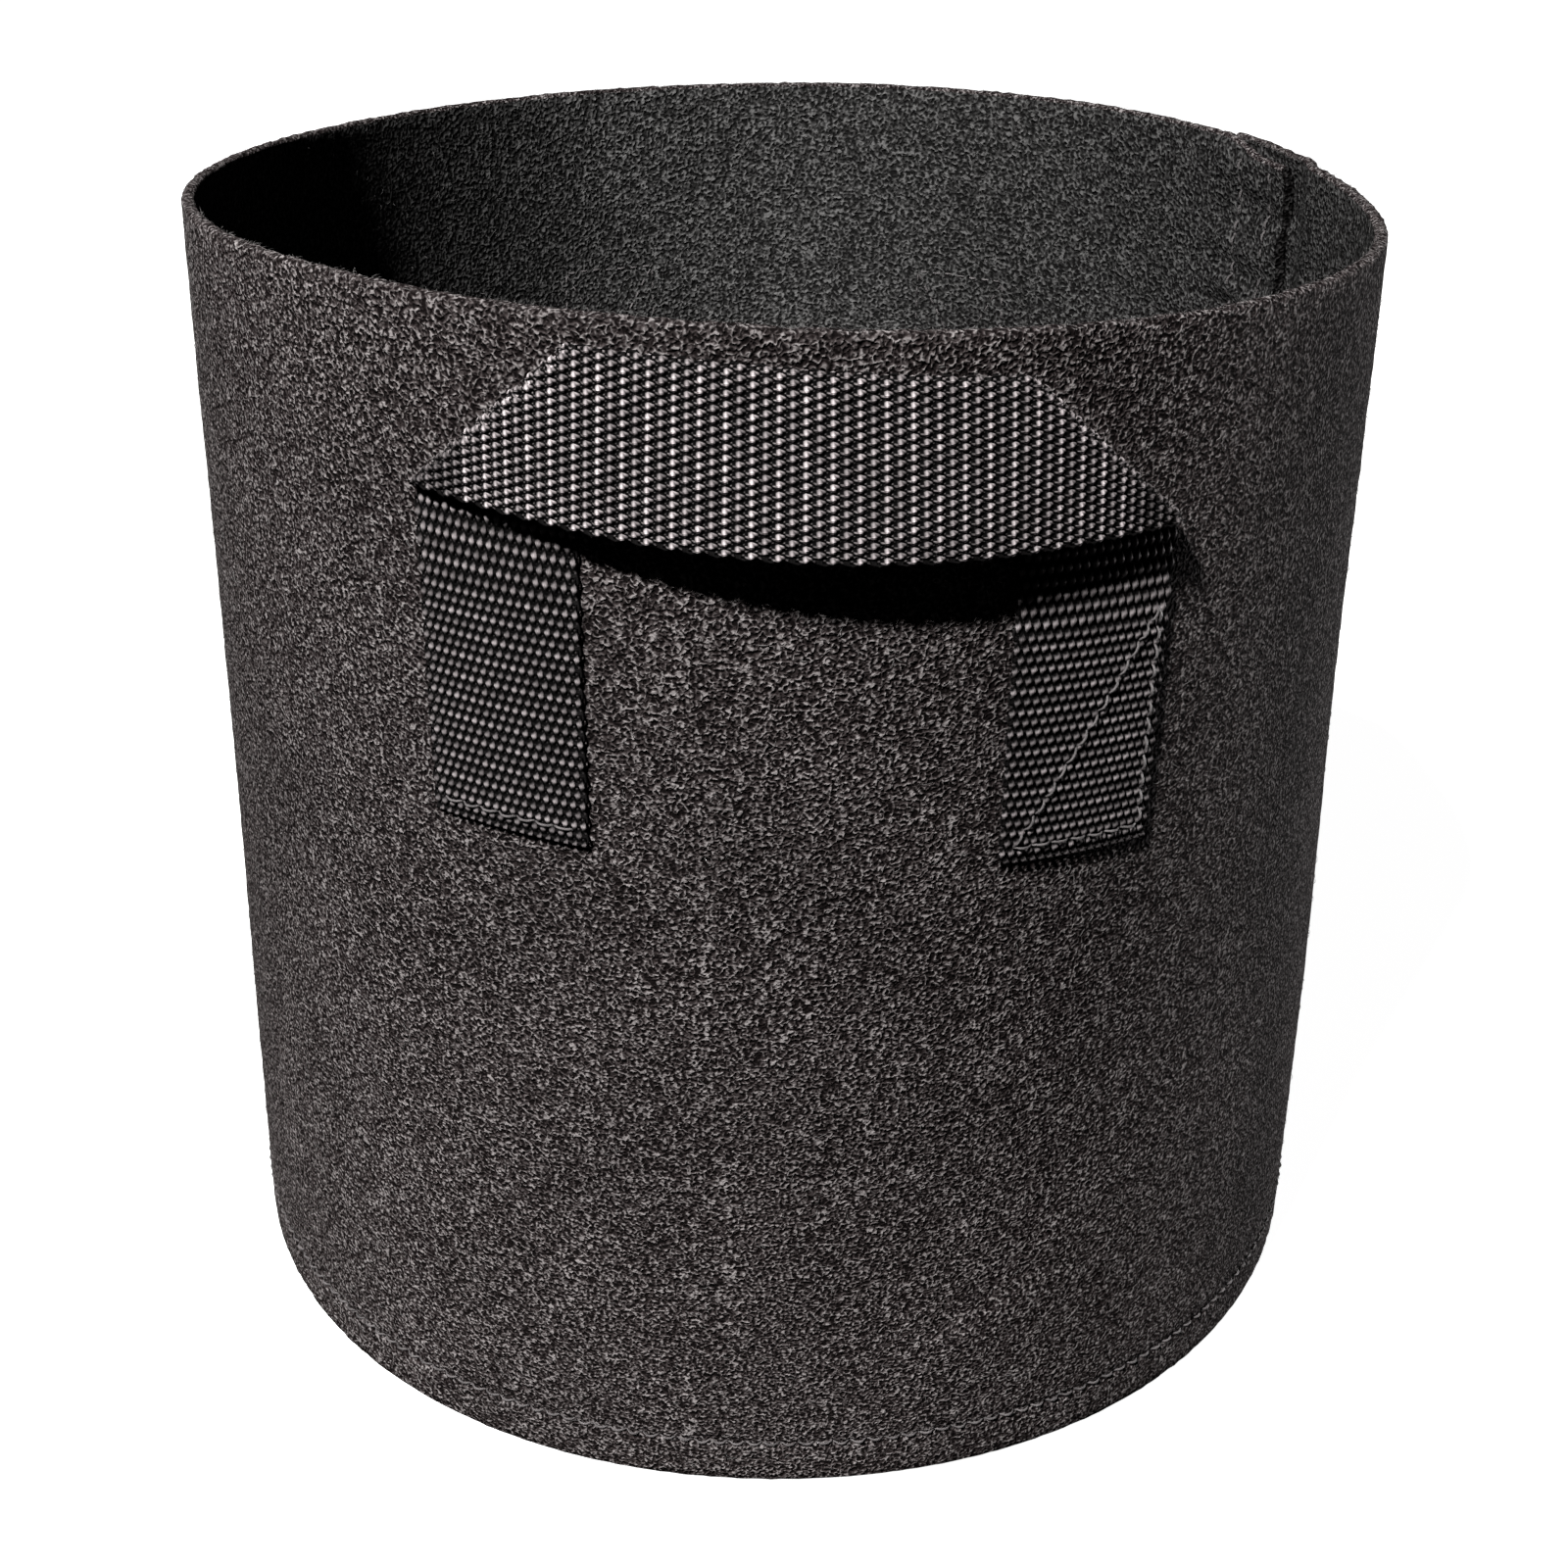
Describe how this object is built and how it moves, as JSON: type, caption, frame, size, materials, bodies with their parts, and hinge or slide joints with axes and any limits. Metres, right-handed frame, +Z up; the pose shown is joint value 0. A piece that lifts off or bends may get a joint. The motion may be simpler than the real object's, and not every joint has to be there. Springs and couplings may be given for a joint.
{
  "type": "fabric grow bag",
  "caption": "Round felt planter bag with an open top, one lapped side seam, a sewn-in base and two webbing handles that swing outward.",
  "frame": {"origin": "centre of the underside of the base, on the surface the bag stands on", "axes": "+Z up out of the open top, -Y towards the front handle, +X to the right of the front handle as seen from the front"},
  "size_m": [0.3118, 0.3308, 0.285],
  "materials": {
    "felt": "non-woven needle-punched felt, charcoal black",
    "webbing": "ribbed woven polypropylene webbing, black with a slight shine",
    "thread": "twisted polyester thread, black"
  },
  "bodies": {
    "bag": {"wall_panel": "felt", "base_panel": "felt", "base_seam_thread_outside": "thread", "base_seam_thread_inside": "thread", "side_seam_thread_outside_1": "thread", "side_seam_thread_outside_2": "thread", "side_seam_thread_inside_1": "thread", "side_seam_thread_inside_2": "thread", "front_handle_left_tab": "webbing", "front_handle_left_tab_thread_outside": "thread", "front_handle_left_tab_thread_inside": "thread", "front_handle_right_tab": "webbing", "front_handle_right_tab_thread_outside": "thread", "front_handle_right_tab_thread_inside": "thread", "rear_handle_left_tab": "webbing", "rear_handle_left_tab_thread_outside": "thread", "rear_handle_left_tab_thread_inside": "thread", "rear_handle_right_tab": "webbing", "rear_handle_right_tab_thread_outside": "thread", "rear_handle_right_tab_thread_inside": "thread"},
    "front_handle": {"front_handle_grip": "webbing"},
    "rear_handle": {"rear_handle_grip": "webbing"}
  },
  "joints": [
    {"name": "front_handle_swing", "type": "hinge", "parent": "bag", "child": "front_handle", "pos_m": [0, -0.147, 0.2345], "axis": [1, 0, 0], "range_deg": [0, 70], "stiffness_Nm_per_rad": 0.03, "springref_deg": -8.59},
    {"name": "rear_handle_swing", "type": "hinge", "parent": "bag", "child": "rear_handle", "pos_m": [0, 0.147, 0.2345], "axis": [-1, 0, 0], "range_deg": [0, 70], "stiffness_Nm_per_rad": 0.03, "springref_deg": -8.59}
  ]
}
